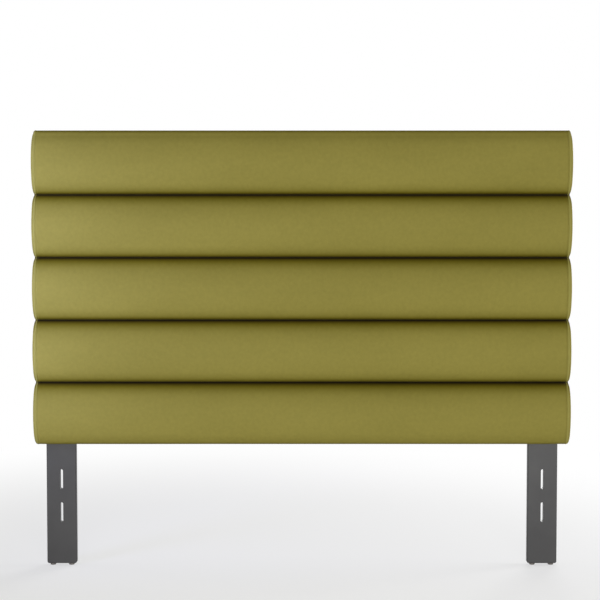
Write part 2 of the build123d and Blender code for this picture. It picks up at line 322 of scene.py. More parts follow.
def add(tree, kind, inputs=None, **settings):
    """Adds a node. Inputs are values, or the output sockets of other nodes."""
    made = tree.nodes.new("ShaderNode" + kind)
    for name, value in settings.items():
        setattr(made, name, value)
    for name, value in (inputs or {}).items():
        if isinstance(value, bpy.types.NodeSocket):
            tree.links.new(value, made.inputs[name])
        else:
            made.inputs[name].default_value = value
    return made


def object_place(tree):
    return add(tree, "TexCoord").outputs["Object"]


def noise_pattern(tree, scale, detail, stretch=(1, 1, 1), roughness=0.5):
    """Noise with `scale` bumps to the metre, as a value from 0 to 1."""
    mapping = add(tree, "Mapping", {"Vector": object_place(tree), "Scale": stretch})
    inputs = {"Vector": mapping.outputs[0], "Scale": scale, "Detail": detail, "Roughness": roughness}
    return add(tree, "TexNoise", inputs).outputs["Fac"]


def cell_pattern(tree, scale):
    """Round cells, `scale` of them to the metre, as the distance from the middle of each."""
    return add(tree, "TexVoronoi", {"Vector": object_place(tree), "Scale": scale}).outputs["Distance"]


def maths(tree, operation, *values):
    """The value of a Math node, from numbers or sockets."""
    return add(tree, "Math", dict(enumerate(values)), operation=operation).outputs[0]


def ranged(tree, value, low, high, start=0, end=1):
    """Goes from low to high while the value goes from start to end."""
    ends = {"From Min": start, "From Max": end, "To Min": low, "To Max": high}
    return add(tree, "MapRange", {"Value": value, **ends}).outputs[0]


def graded(tree, value, stops):
    """Turns a value into a colour, with the stops given as (place, colour)."""
    ramp = add(tree, "ValToRGB", {"Fac": value})
    elements = ramp.color_ramp.elements
    elements[0].position, elements[1].position = stops[0][0], stops[-1][0]
    elements[0].color, elements[1].color = (*stops[0][1], 1), (*stops[-1][1], 1)
    for place, colour in stops[1:-1]:
        elements.new(place).color = (*colour, 1)
    return ramp.outputs["Color"]


def clouded(tree, pattern, first, second):
    """Goes from one colour to another over the middle of a noise."""
    return graded(tree, pattern, [(0.3, first), (0.7, second)])


def mixed(tree, share, first, second, blend="MIX"):
    """Mixes two colours. A Mix node has sockets for each kind of value: 6 and 7 take colours, 2 gives one."""
    mix = add(tree, "Mix", data_type="RGBA", blend_type=blend)
    for socket, value in ((mix.inputs[0], share), (mix.inputs[6], first), (mix.inputs[7], second)):
        if isinstance(value, bpy.types.NodeSocket):
            tree.links.new(value, socket)
        else:
            socket.default_value = value
    return mix.outputs[2]


def coloured(tree, shader, colour):
    tree.links.new(colour, shader.inputs["Base Color"])


def roughened(tree, shader, pattern, low, high):
    """Lets a pattern vary the roughness from low to high."""
    tree.links.new(ranged(tree, pattern, low, high), shader.inputs["Roughness"])


def bumped(tree, shader, height, strength, distance):
    bump = add(tree, "Bump", {"Height": height, "Strength": strength, "Distance": distance})
    tree.links.new(bump.outputs["Normal"], shader.inputs["Normal"])


# %% [markdown]
# ## Velvet
#
# Velvet is a short dense pile. It is deep in colour where one looks into the pile, pale where light grazes
# the tips, and it shows faint clouds where the pile leans another way. Two noises of different size vary the
# colour and the roughness a little, and a very fine one raises the pile. Two values kept on the points of a
# cover are laid over that. `pile` holds painted shade, which darkens the velvet towards the seams, at the top
# edge and where it turns up or down, and `fold` holds a painted sheen highlight, which makes the ridge along
# each end a little paler.

# %% Velvet
velvet_deep = (0.205, 0.177, 0.036)
velvet_lit = (0.25, 0.216, 0.047)
# painted sheen highlight: the paler colour laid along the ridge at each end
velvet_painted_sheen = (0.265, 0.24, 0.066)
# painted shade: the colours that multiply the velvet, from deep in a seam (0) to the open (1)
painted_shade_colours = [
    (0, (0.02, 0.008, 0)), (0.25, (0.25, 0.21, 0.02)), (0.5, (0.5, 0.47, 0.14)),
    (0.75, (0.75, 0.74, 0.55)), (1, (1, 1, 1)),
]
pile_per_m, cloud_per_m, mottle_per_m = 900, 5, 90


def make_velvet():
    material, tree, shader = new_material("velvet")
    clouds = noise_pattern(tree, cloud_per_m, 2, stretch=(0.5, 1, 1.6))
    mottle = noise_pattern(tree, mottle_per_m, 4, roughness=0.6)
    pile = noise_pattern(tree, pile_per_m, 2)
    nap = maths(tree, "MULTIPLY", maths(tree, "ADD", clouds, mottle), 0.5)
    colour = clouded(tree, nap, velvet_deep, velvet_lit)
    # the kept value is painted shade, which darkens the seams, the top edge and the turned shoulders
    painted_shade_value = add(tree, "Attribute", attribute_name="pile").outputs["Fac"]
    colour = mixed(tree, 1.0, colour, graded(tree, painted_shade_value, painted_shade_colours), blend="MULTIPLY")
    # the kept fold value places a painted sheen highlight along the ridge at each end
    fold = add(tree, "Attribute", attribute_name="fold").outputs["Fac"]
    coloured(tree, shader, mixed(tree, fold, colour, (*velvet_painted_sheen, 1)))
    roughened(tree, shader, mottle, 0.72, 0.85)
    shader.inputs["Specular IOR Level"].default_value = 0.1
    shader.inputs["Sheen Weight"].default_value = 0.02
    shader.inputs["Sheen Roughness"].default_value = 0.4
    shader.inputs["Sheen Tint"].default_value = (0.9, 0.88, 0.6, 1)
    bumped(tree, shader, pile, 0.25, 0.4 * MM)
    return material


velvet = make_velvet()
print("velvet has", len(velvet.node_tree.nodes), "nodes")

# %% [markdown]
# ## The channel covers
#
# Each channel is one length of velvet. A line of edges as long as the channel is swept round the section. The
# first one starts on the back of the frame, comes over the top rail and goes on round the channel. The last
# one runs under the bottom rail and up the back.

# %% Sweep and soften a channel
grid = 4 * MM
roll_width, roll_r, tight_r = 11 * MM, 6 * MM, 3 * MM
back_fold_r, flange_width = 8 * MM, 35 * MM
channel_half = half_width - roll_width
over_rail = flange_back - back_fold_r - board_front
valley_depth, valley_width = 0.06 * MM, 2.5 * MM

# an unevenness has a height, the size of its bumps on each axis and a seed, and it grows or fades over a span
relief_grows, low_swell = (2 * MM, 16 * MM), (0.6 * MM, (0.33, 0.2, 0.09), 3)
seam_fades, seam_pucker = (8 * MM, 45 * MM), (0.5 * MM, (0.045, 0.1, 0.06), 11)
roll_fades, roll_pucker = (0, 20 * MM), (0.5 * MM, (0.03, 0.02, 0.011), 27)


def in_front_of_fold(place):
    """1 in front and over the rails, and 0 from the fold behind on."""
    return 1 - smooth_share(place.y, flange_back - 3 * back_fold_r, flange_back - back_fold_r)


def cover_relief(place):
    """How far a point of the cover stands out from the plain section, or back from it."""
    from_roll = abs(abs(place.x) - channel_half)
    at_seam = 1 - smooth_share(nearest_seam(place), *seam_fades)
    at_roll = 1 - smooth_share(from_roll, *roll_fades)
    uneven = ripple(place, *low_swell) + ripple(place, *seam_pucker) * at_seam
    uneven += ripple(place, *roll_pucker) * at_roll
    drawn_in = valley_depth * hump(from_roll, 0, valley_width) * in_front_of_fold(place)
    return smooth_share(board_front - place.y, *relief_grows) * uneven - drawn_in + top_swell(place)


swell_below, swell_full, swell_behind = 14 * MM, 1 * MM, 5 * MM


def top_swell(place):
    """The padding stands up over the top rail: most at its front edge, and not at all at the fold behind."""
    over_top = smooth_share(place.z, panel_top - swell_below, panel_top - swell_full)
    in_front = 1 - smooth_share(place.y, board_front + swell_behind, flange_back - back_fold_r)
    return top_padding * over_top * in_front


# how far a square edge stands out past a round one of radius 1, and 1 / (x y z)^2 of the normal at a corner
past_round, at_corner = math.sqrt(2) - 1, 27
corner_push, wood_before, wood_behind = 1.6 * MM, 2 * MM, 4 * MM


def squared(normal, place):
    """Over the wooden frame the cover is pulled round square corners, so its round folds are pushed out."""
    over_wood = smooth_share(place.y, board_front - wood_before, board_front + wood_behind)
    x, y, z = abs(normal.x), max(0, normal.y), abs(normal.z)
    push_out = past_round * (back_fold_r - tight_r) * (2 * y * z) ** 2
    push_out += past_round * (roll_r - tight_r) * ((2 * x * y) ** 2 + (2 * x * z) ** 2)
    return over_wood * (push_out + corner_push * at_corner * (x * y * z) ** 2)


def lies_under_sides(place):
    """On the back, where the side covers are folded over and take the channel cover's place."""
    return place.y > flange_back - merge_distance and abs(place.x) > half_width - flange_width


def make_channel(number):
    upper, lower = edges_z[number - 1], edges_z[number]
    first, last = number == 1, number == len(covers)
    wrap = [(flange_width - back_fold_r, 0), (back_fold_r, 90), (over_rail, 0)]
    place = Vector((0, board_front, upper))
    facing, path = 0, channel_path()
    if first:
        place, facing, path = Vector((0, flange_back, upper - flange_width)), -90, wrap + path
    if last:
        path = path + wrap[::-1]
    bm = bmesh.new()
    ends = [(x, place.y, place.z) for x in (-channel_half, channel_half)]
    line = straight_line(bm, *ends, cuts=round(2 * channel_half / grid))
    sweep(bm, line, place, facing, path, grid)
    bmesh.ops.remove_doubles(bm, verts=bm.verts, dist=merge_distance)
    under_sides = [f for f in bm.faces if lies_under_sides(f.calc_center_median())]
    bmesh.ops.delete(bm, geom=under_sides, context="FACES")
    facing_out(bm, Vector((0, board_front, (upper + lower) / 2)))
    soften(bm, lambda vert: vert.normal * (cover_relief(vert.co) + squared(vert.normal, vert.co)))
    piece = finish_mesh(bm, f"channel_{number}_velvet", velvet)
    # pile holds the painted shade of the seams, the top edge and the turned shoulders
    keep_on_points(piece, "pile", painted_shade)
    return thicken(piece, cloth_t)


channels = []
for number in range(1, len(covers) + 1):
    piece = make_channel(number)
    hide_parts(f"channel_cover_{number}")
    channels.append(piece)
print("channel faces:", [len(piece.data.polygons) for piece in channels])

# %% [markdown]
# ## The side covers
#
# A strip of velvet boxes in each end. Its front edge follows the five channels, rolled over a soft welt that
# is sewn just inside the end, and its back edge is folded round the frame. The section of that roll is swept
# all the way round the end: up the back, over the top, down the five channels and under the bottom. Between
# two channels the section is mirrored, which leaves the notch and a flap in it that is taken out. The flat
# inside the loop is filled with one face, which is then cut into a grid so that it can swell.

# %% Sweep the roll round an end
welt_in, welt_height, welt_width, pale_width = 6.4 * MM, 0.6 * MM, 0.8 * MM, 1.8 * MM
end_grid, flat_cuts, roll_steps, flange_strips = 6 * MM, 9, 8, 4


def roll_section(bm, side):
    """The roll's section at the foot of the back fold: flat on the back, then round to the side."""
    start_z = panel_bottom + back_fold_r
    low = (side * channel_half, flange_back, start_z)
    high = (side * (half_width - roll_r), flange_back, start_z)
    straight_line(bm, low, high, cuts=flat_cuts)
    last = max(bm.verts, key=lambda v: abs(v.co.x))
    centre = Vector(high) - Vector((0, roll_r, 0))
    turn = -side * math.pi / 2
    bmesh.ops.spin(bm, geom=[last], cent=centre, axis=(0, 0, 1), angle=turn, steps=roll_steps)
    return bm.verts[:] + bm.edges[:]


def turn_over(bm, line, seam):
    """Mirrors the section at a seam, from the underside of one channel to the top of the next."""
    line = push(bm, line, (0, 0, 0))
    verts = [g for g in line if isinstance(g, bmesh.types.BMVert)]
    about = Matrix.Translation((0, 0, -seam))
    bmesh.ops.scale(bm, vec=(1, 1, -1), space=about, verts=verts)
    return line


def sweep_roll(bm, side):
    fold, over = (back_fold_r, 90), (over_rail, 0)
    place = Vector((0, flange_back, panel_bottom + back_fold_r))
    up_the_back = (panel_top - panel_bottom - 2 * back_fold_r, 0)
    line = roll_section(bm, side)
    line, place, _ = sweep(bm, line, place, -90, [up_the_back, fold, over], grid)
    for seam in seams:
        line, place, _ = sweep(bm, line, place, 0, channel_path(), grid)
        line = turn_over(bm, line, seam)
    sweep(bm, line, place, 0, [*channel_path(), over, fold], grid)
    bmesh.ops.remove_doubles(bm, verts=bm.verts, dist=merge_distance)


# %% Fill the end and add the flange
def in_plane(place, axis, value):
    return abs(place[axis] - value) < merge_distance


def clear_notches(bm):
    """Between two channels the section goes in to the board and out again on one line, leaving a flap."""
    flaps = [f for f in bm.faces if any(all(in_plane(v.co, 2, z) for v in f.verts) for z in seams)]
    bmesh.ops.delete(bm, geom=flaps, context="FACES")


def cut_grid(bm, side):
    """Cuts what lies in the end's plane into a grid."""
    faces = [f for f in bm.faces if all(in_plane(v.co, 0, side * half_width) for v in f.verts)]
    parts = list({g for f in faces for g in (*f.verts, *f.edges, f)})
    for normal, low, high in (((0, 1, 0), crown_y, flange_back), ((0, 0, 1), panel_bottom, panel_top)):
        count = round((high - low) / end_grid)
        for i in range(1, count):
            spot = Vector(normal) * (low + (high - low) * i / count)
            cut = bmesh.ops.bisect_plane(bm, geom=parts, dist=merge_distance, plane_co=spot, plane_no=normal)
            parts = cut["geom"]


def fill_end(bm, side):
    rim = [e for e in bm.edges if all(in_plane(v.co, 0, side * half_width) for v in e.verts)]
    bmesh.ops.contextual_create(bm, geom=rim)
    cut_grid(bm, side)


def add_flange(bm, side):
    """Runs the cover on over the back of the frame, from the foot of one fold to the other."""
    low, high = panel_bottom + back_fold_r - merge_distance, panel_top - back_fold_r + merge_distance
    line = [
        e for e in bm.edges
        if all(in_plane(v.co, 0, side * channel_half) and in_plane(v.co, 1, flange_back) for v in e.verts)
        and all(low < v.co.z < high for v in e.verts)
    ]
    move = Vector((-side * (flange_width - roll_width) / flange_strips, 0, 0))
    for _ in range(flange_strips):
        line = push(bm, line, move)


# %% Soften the end and make the two pieces
end_swell, hard_swell, foam_grows = 1.4 * MM, 0.3 * MM, (-4 * MM, 14 * MM)
drawn_width, wrinkle_width = 16 * MM, 30 * MM
end_wrinkle, end_wave = (0.45 * MM, (1, 0.05, 0.012), 41), (0.25 * MM, (1, 0.06, 0.12), 5)
turns_aside = (0.2, 0.9)


def end_relief(place):
    """How far the side cover swells outwards: full over foam, flat over the frame, drawn in at seams."""
    over_foam = smooth_share(board_front - place.y, *foam_grows)
    from_edge = min(abs(place.z - z) for z in edges_z)
    drawn = 1 - over_foam * hump(from_edge, 0, drawn_width)
    wrinkle = ripple(place, *end_wrinkle) * over_foam * hump(nearest_seam(place), 0, wrinkle_width)
    return (hard_swell + (end_swell - hard_swell) * over_foam) * drawn + wrinkle + ripple(place, *end_wave)


def welt(place, width):
    """The sewn ridge along the roll. It fades out behind the top and bottom edges."""
    return hump(half_width - abs(place.x), welt_in, width) * in_front_of_fold(place)


def roll_move(vert, side):
    """The cover's own relief where it faces the front, top or back, and the swell where it faces sideways."""
    sideways = vert.normal.x * side
    straight_on = 1 - smooth_share(sideways, *turns_aside)
    height = cover_relief(vert.co) * straight_on + welt_height * welt(vert.co, welt_width)
    height += squared(vert.normal, vert.co)
    return vert.normal * height + Vector((side, 0, 0)) * end_relief(vert.co) * smooth_share(sideways, 0, 1)


def make_boxing(name, side):
    bm = bmesh.new()
    sweep_roll(bm, side)
    clear_notches(bm)
    fill_end(bm, side)
    add_flange(bm, side)
    facing_out(bm, Vector((0, 0, middle_z)))
    soften(bm, lambda vert: roll_move(vert, side))
    piece = finish_mesh(bm, f"{name}_side_velvet", velvet)
    # fold holds a painted sheen highlight along the ridge, and pile the painted shade
    keep_on_points(piece, "fold", lambda vert: welt(vert.co, pale_width))
    keep_on_points(piece, "pile", painted_shade)
    return thicken(piece, cloth_t)


for name, side in (("left", -1), ("right", 1)):
    piece = make_boxing(name, side)
    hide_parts(f"{name}_side_cover")
    print(piece.name, len(piece.data.polygons), "faces")

# %% [markdown]
# ## Batting and foam
#
# Under the velvet lies a sheet of polyester batting, and under that the foam that gives each channel its
# shape. Neither shows from outside, but an opened or exploded headboard shows both. They follow the same
# section, set in by the thickness of what lies over them: the arcs keep their centres, so each radius is that
# much smaller. The back is bridged, and the ends are closed and rounded by the bevel operator. The foam stays
# a solid. From the batting the back is taken out again, and a modifier gives it its thickness.

# %% White batting and yellow foam
def make_batting_look():
    material, tree, shader = new_material("batting")
    tufts = noise_pattern(tree, 60, 4, roughness=0.7)
    fibres = noise_pattern(tree, 900, 3, stretch=(0.15, 1, 1), roughness=0.7)
    coloured(tree, shader, clouded(tree, tufts, (0.72, 0.72, 0.7), (0.86, 0.86, 0.85)))
    shader.inputs["Roughness"].default_value = 0.95
    shader.inputs["Sheen Weight"].default_value = 0.3
    both = maths(tree, "ADD", tufts, fibres)
    bumped(tree, shader, both, 0.7, 1.2 * MM)
    return material


def make_foam_look():
    material, tree, shader = new_material("foam")
    coloured(tree, shader, clouded(tree, noise_pattern(tree, 9, 3), (0.78, 0.69, 0.42), (0.84, 0.77, 0.54)))
    shader.inputs["Roughness"].default_value = 0.9
    bumped(tree, shader, cell_pattern(tree, 700), 0.6, 0.5 * MM)
    return material


batting_look, foam_look = make_batting_look(), make_foam_look()

# %% Sweep the padding, close it and round its ends
batting_t, cover_play, foam_play = 6 * MM, 1.4 * MM, 0.4 * MM
batting_in, foam_in = cloth_t + cover_play, cloth_t + batting_t + foam_play
foam_grid, end_bevel, pad_wave = 12 * MM, 5 * MM, (0.4 * MM, (0.12, 0.1, 0.08))
faces_aside, few_corners = 0.9, 8


def make_padding(number, name, inset, material, solid):
    """A closed pad that lies inset behind the cover's skin, open at the back if it isn't solid."""
    upper, lower = edges_z[number - 1], edges_z[number]
    path = [(size - inset, turn) if turn else (size, turn) for size, turn in channel_path()]
    half = half_width - inset
    bm = bmesh.new()
    ends = [(x, board_front, upper - inset) for x in (-half, half)]
    line = straight_line(bm, *ends, cuts=round(2 * half / foam_grid))
    first = [e for e in line if isinstance(e, bmesh.types.BMEdge)]
    last, _, _ = sweep(bm, line, Vector(ends[0]), 0, path, foam_grid / 2)
    last = [e for e in last if isinstance(e, bmesh.types.BMEdge)]
    bmesh.ops.bridge_loops(bm, edges=first + last)
    bmesh.ops.holes_fill(bm, edges=bm.edges, sides=0)
    rims = [f for f in bm.faces if abs(f.normal.x) > faces_aside or len(f.verts) > few_corners]
    rounded = [
        e for f in rims for e in f.edges
        if all(g.calc_center_median().y < board_front for g in e.link_faces)
    ]
    bevel(bm, rounded, end_bevel, segments=3)
    if not solid:
        behind = [f for f in bm.faces if all(in_plane(v.co, 1, board_front) for v in f.verts)]
        bmesh.ops.delete(bm, geom=behind, context="FACES")
    facing_out(bm, Vector((0, board_front, (upper + lower) / 2)))
    soften(bm, lambda vert: vert.normal * ripple(vert.co, *pad_wave, number))
    return finish_mesh(bm, name, material)


for number in range(1, len(covers) + 1):
    batting = make_padding(number, f"channel_{number}_batting", batting_in, batting_look, solid=False)
    thicken(batting, batting_t - cover_play)
    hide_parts(f"channel_batting_{number}")
    foam = make_padding(number, f"channel_{number}_foam", foam_in, foam_look, solid=True)
    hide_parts(f"channel_foam_{number}")
print("faces of one batting and one foam:", len(batting.data.polygons), len(foam.data.polygons))

# %% [markdown]
# ## The dust cover
#
# The back is closed with a sheet of black spunbond cloth, with its hem turned in and stapled down. It lies
# tight on the wood and on the folded velvet, and sags a little into the frame where there is nothing behind
# it. A grid is the sheet. A square of faces is taken out round each bolt, and a ring of points bridged to it
# makes the hole.

# %% Black spunbond cloth
def make_dust_look():
    material, tree, shader = new_material("dust cloth")
    fibres = noise_pattern(tree, 1300, 3, stretch=(1, 1, 0.3), roughness=0.7)
    both = maths(tree, "ADD", noise_pattern(tree, 14, 3), fibres)
    coloured(tree, shader, graded(tree, both, [(0.6, (0.016, 0.016, 0.017)), (1, (0.03, 0.03, 0.032))]))
    shader.inputs["Roughness"].default_value = 0.75
    bumped(tree, shader, maths(tree, "ADD", cell_pattern(tree, 420), fibres), 0.5, 0.25 * MM)
    return material


dust_look = make_dust_look()

# %% Measure the sheet and its holes
dust_low, dust_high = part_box("dust_cover")
dust_t = dust_high.y - dust_low.y
hem_width, hem_slope, hem_step, dust_grid = 12 * MM, 1 * MM, 0.35 * MM, 15 * MM
hole_r, hole_square = 6 * MM, 22 * MM
washer_low, washer_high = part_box("flat_washers")
washer_r = washer_high.x - leg_x
bolts_z = (washer_low.z + washer_r, washer_high.z - washer_r)
bolt_places = [(side * leg_x, z) for side in (-1, 1) for z in bolts_z]
bay = (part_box("centre_stile")[1].x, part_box("right_leg_post")[0].x)
print("holes at", [(round(x, 3), round(z, 3)) for x, z in bolt_places])


# %% Pierce, hem and stretch the sheet
# the sag grows from the uprights inwards over these two lengths, and from the hem inwards over the span
sag, sag_from_centre, sag_from_post, sag_grows = 3 * MM, 0.2, 0.14, (0.03, 0.2)
sag_wave = (0.35, (0.3, 1, 0.12), 8)
hem_pull, pull_fades = (0.5 * MM, (0.03, 1, 0.03), 17), (0, 0.05)


def cut_line(bm, spot, normal):
    geom = bm.verts[:] + bm.edges[:] + bm.faces[:]
    bmesh.ops.bisect_plane(bm, geom=geom, dist=merge_distance, plane_co=spot, plane_no=normal)


def pierce(bm, x, z):
    """Cuts a square round a bolt out of the grid and joins a round hole to it."""
    for value, normal in ((x, Vector((1, 0, 0))), (z, Vector((0, 0, 1)))):
        for way in (-1, 1):
            cut_line(bm, normal * (value + way * hole_square / 2), normal)
    reach = hole_square / 2 + merge_distance

    def in_square(part):
        return all(abs(v.co.x - x) < reach and abs(v.co.z - z) < reach for v in part.verts)

    bmesh.ops.delete(bm, geom=[f for f in bm.faces if in_square(f)], context="FACES")
    square = [e for e in bm.edges if e.is_boundary and in_square(e)]
    about = Matrix.Translation((x, dust_high.y, z)) @ Matrix.Rotation(math.pi / 2, 4, "X")
    ring = bmesh.ops.create_circle(bm, cap_ends=False, radius=hole_r, segments=24, matrix=about)["verts"]
    bmesh.ops.bridge_loops(bm, edges=square + list({e for v in ring for e in v.link_edges}))


def from_hem(place):
    """Distance from the sheet's edge."""
    return min(dust_high.x - abs(place.x), place.z - dust_low.z, dust_high.z - place.z)


def stretch_move(vert):
    """In by a step behind the hem, and a little way into the two bays between the uprights."""
    place, edge = vert.co, from_hem(vert.co)
    low, high = bay
    across = smooth_share(abs(place.x), low, low + sag_from_centre)
    across *= 1 - smooth_share(abs(place.x), high - sag_from_post, high)
    deep = across * smooth_share(edge, *sag_grows) * (1 + ripple(place, *sag_wave))
    pull = ripple(place, *hem_pull) * (1 - smooth_share(edge, *pull_fades)) * across
    step = hem_step * smooth_share(edge, hem_width - hem_slope, hem_width)
    return Vector((0, -step - sag * deep - abs(pull), 0))


def make_dust_cover():
    bm = bmesh.new()
    width, height = dust_high.x - dust_low.x, dust_high.z - dust_low.z
    middle = Matrix.Translation(((dust_low.x + dust_high.x) / 2, dust_high.y, (dust_low.z + dust_high.z) / 2))
    place = middle @ Matrix.Rotation(math.pi / 2, 4, "X") @ Matrix.Diagonal((width / 2, height / 2, 1, 1))
    counts = {"x_segments": round(width / dust_grid), "y_segments": round(height / dust_grid)}
    bmesh.ops.create_grid(bm, **counts, size=1, matrix=place)
    for x, z in bolt_places:
        pierce(bm, x, z)
    for inset in (hem_width - hem_slope, hem_width):
        for way in (-1, 1):
            cut_line(bm, (way * (dust_high.x - inset), 0, 0), (1, 0, 0))
        for z in (dust_low.z + inset, dust_high.z - inset):
            cut_line(bm, (0, 0, z), (0, 0, 1))
    facing_out(bm, Vector((0, 0, (dust_low.z + dust_high.z) / 2)))
    soften(bm, stretch_move)
    return thicken(finish_mesh(bm, "back_dust_cover", dust_look), dust_t)


dust_cover = make_dust_cover()
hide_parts("dust_cover")

# %% [markdown]
# ## Staples
#
# Zinc staples hold the hem every 40 mm or so. What shows of one is its crown, a bar of flat wire that has
# sunk into the cloth. A cube is stretched to that size and its outer edges are bevelled. Each is turned and
# shifted a little, as from a hand-held stapler, and there is none behind a leg, where it would hold the leg
# off.

# %% Zinc
def make_zinc():
    material, tree, shader = new_material("zinc steel")
    spangle = noise_pattern(tree, 260, 3, roughness=0.6)
    film = noise_pattern(tree, 45, 3)
    coloured(tree, shader, clouded(tree, film, (0.5, 0.51, 0.52), (0.66, 0.67, 0.67)))
    roughened(tree, shader, spangle, 0.24, 0.46)
    shader.inputs["Metallic"].default_value = 1
    bumped(tree, shader, spangle, 0.15, 0.1 * MM)
    return material


zinc = make_zinc()

# %% A row of staples along each edge
crown_l, crown_w, crown_t, crown_bevel = 11 * MM, 1.2 * MM, 0.9 * MM, 0.35 * MM
staple_pitch, staple_inset, side_inset = 40 * MM, 5.5 * MM, 2.6 * MM
row_end, column_end, leg_clearance = 0.02, 0.03, 8 * MM
shift_mm, inset_shift_mm, row_turn, column_turn = 3, 1, 9, 3


def staple_places():
    """(x, z, turn) of each staple, with a small random shift and turn."""
    chance = random.Random(5)

    def either_way(most):
        return chance.uniform(-most, most)

    half = dust_high.x - row_end
    across = round(2 * half / staple_pitch)
    for i in range(across + 1):
        x = -half + i * 2 * half / across + either_way(shift_mm) * MM
        for z in (dust_low.z + staple_inset, dust_high.z - staple_inset):
            behind_leg = z < middle_z and abs(abs(x) - leg_x) < leg_half + leg_clearance
            if not behind_leg:
                yield x, z + either_way(inset_shift_mm) * MM, either_way(row_turn)
    column = dust_high.z - dust_low.z - 2 * column_end
    along = round(column / staple_pitch)
    for i in range(along + 1):
        z = dust_low.z + column_end + i * column / along + either_way(shift_mm) * MM
        for side in (-1, 1):
            yield side * (dust_high.x - side_inset), z, 90 + either_way(column_turn)


def make_staples():
    bm = bmesh.new()
    places = list(staple_places())
    size = Matrix.Diagonal((crown_l, crown_t, crown_w, 1))
    for x, z, turn in places:
        place = Matrix.Translation((x, dust_high.y, z)) @ Matrix.Rotation(math.radians(turn), 4, "Y") @ size
        verts = bmesh.ops.create_cube(bm, size=1, matrix=place)["verts"]
        edges = {e for v in verts for e in v.link_edges}
        outer = [e for e in edges if all(v.co.y > dust_high.y for v in e.verts)]
        bevel(bm, outer, crown_bevel, segments=1)
    return finish_mesh(bm, "dust_cover_staples", zinc), len(places)


staples, staple_count = make_staples()
print("staples:", staple_count, "with", len(staples.data.polygons), "faces")

# %% [markdown]
# ## Wood, paint and plastic
#
# The rigid pieces keep their solids. Sawn pine has long stretched bands of early and late wood, along X in
# the rails and along Z in the uprights, so the same recipe is made twice. The board is birch plywood, with
# dark glue lines on its edges. The legs are painted black: the grain only shows as a soft relief, and the
# paint is rubbed through here and there on the edges. The glides are moulded plastic.

# %% Pine and plywood
def make_wood(name, stretch, pale, dark):
    material, tree, shader = new_material(name)
    bands = noise_pattern(tree, 42, 2, stretch, roughness=0.4)
    fibres = noise_pattern(tree, 700, 3, stretch, roughness=0.65)
    tone = noise_pattern(tree, 3, 2)
    both = maths(tree, "MULTIPLY_ADD", bands, 0.75, tone)
    colour = graded(tree, both, [(0.6, pale), (0.84, pale), (0.9, dark), (0.98, pale)])
    fine = clouded(tree, fibres, (0.86, 0.84, 0.8), (1, 1, 1))
    colour = mixed(tree, 0.6, colour, fine, blend="MULTIPLY")
    coloured(tree, shader, colour)
    roughened(tree, shader, fibres, 0.6, 0.8)
    bumped(tree, shader, fibres, 0.3, 0.3 * MM)
    return material, tree, shader, colour


pine_pale, pine_dark = (0.68, 0.47, 0.25), (0.47, 0.27, 0.11)
rail_pine = make_wood("pine along", (0.05, 1, 1), pine_pale, pine_dark)[0]
upright_pine = make_wood("pine upright", (1, 1, 0.05), pine_pale, pine_dark)[0]
birch_pale, birch_dark, glue_colour = (0.7, 0.53, 0.33), (0.56, 0.38, 0.2), (0.2, 0.11, 0.05, 1)
ply_t = (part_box("face_board")[1].y - board_front) / 3
glue_core, glue_edge, outer_face = 0.1 * MM, 0.3 * MM, 1 * MM


def make_plywood():
    """Birch plywood: wood with glue lines laid over it, which only the edges of the board cut across."""
    material, tree, shader, colour = make_wood("plywood", (0.07, 1, 1), birch_pale, birch_dark)
    depth = add(tree, "SeparateXYZ", {"Vector": object_place(tree)}).outputs["Y"]
    ply = maths(tree, "PINGPONG", maths(tree, "ADD", depth, -board_front), ply_t / 2)
    inner = maths(tree, "GREATER_THAN", depth, board_front + outer_face)
    glue = maths(tree, "MULTIPLY", ranged(tree, ply, 1, 0, glue_core, glue_edge), inner)
    coloured(tree, shader, mixed(tree, glue, colour, glue_colour))
    return material


plywood = make_plywood()


# %% Black paint, worn at the edges
worn_width, bare_wood = 2.5 * MM, (0.16, 0.1, 0.055, 1)


def close_to(tree, value, middle, half):
    """1 on the two faces that lie half a width from the middle, and 0 a little way in from them."""
    away = maths(tree, "ABSOLUTE", maths(tree, "SUBTRACT", value, middle))
    return ranged(tree, away, 0, 1, half - worn_width, half)


def make_black_wood():
    material, tree, shader = new_material("black wood")
    grain = noise_pattern(tree, 380, 3, stretch=(1, 1, 0.04), roughness=0.6)
    paint = clouded(tree, noise_pattern(tree, 11, 3), (0.013, 0.012, 0.012), (0.024, 0.023, 0.022))
    place = add(tree, "SeparateXYZ", {"Vector": object_place(tree)}).outputs
    leg_y = (leg_low.y + leg_high.y) / 2
    sides = close_to(tree, maths(tree, "ABSOLUTE", place["X"]), leg_x, leg_half)
    front_and_back = close_to(tree, place["Y"], leg_y, leg_y - leg_low.y)
    edge = maths(tree, "MULTIPLY", sides, front_and_back)
    scuffs = noise_pattern(tree, 170, 4, stretch=(1, 1, 0.35), roughness=0.7)
    worn = ranged(tree, maths(tree, "MULTIPLY_ADD", edge, 0.3, scuffs), 0, 1, 0.82, 0.9)
    coloured(tree, shader, mixed(tree, worn, paint, bare_wood))
    roughened(tree, shader, grain, 0.34, 0.55)
    bumped(tree, shader, grain, 0.35, 0.25 * MM)
    return material


def make_glide_plastic():
    material, tree, shader = new_material("glide plastic")
    speckle = noise_pattern(tree, 500, 3)
    scratches = noise_pattern(tree, 900, 2, stretch=(0.1, 1, 1))
    coloured(tree, shader, clouded(tree, speckle, (0.1, 0.09, 0.08), (0.135, 0.12, 0.105)))
    roughened(tree, shader, scratches, 0.35, 0.6)
    bumped(tree, shader, speckle, 0.2, 0.1 * MM)
    return material


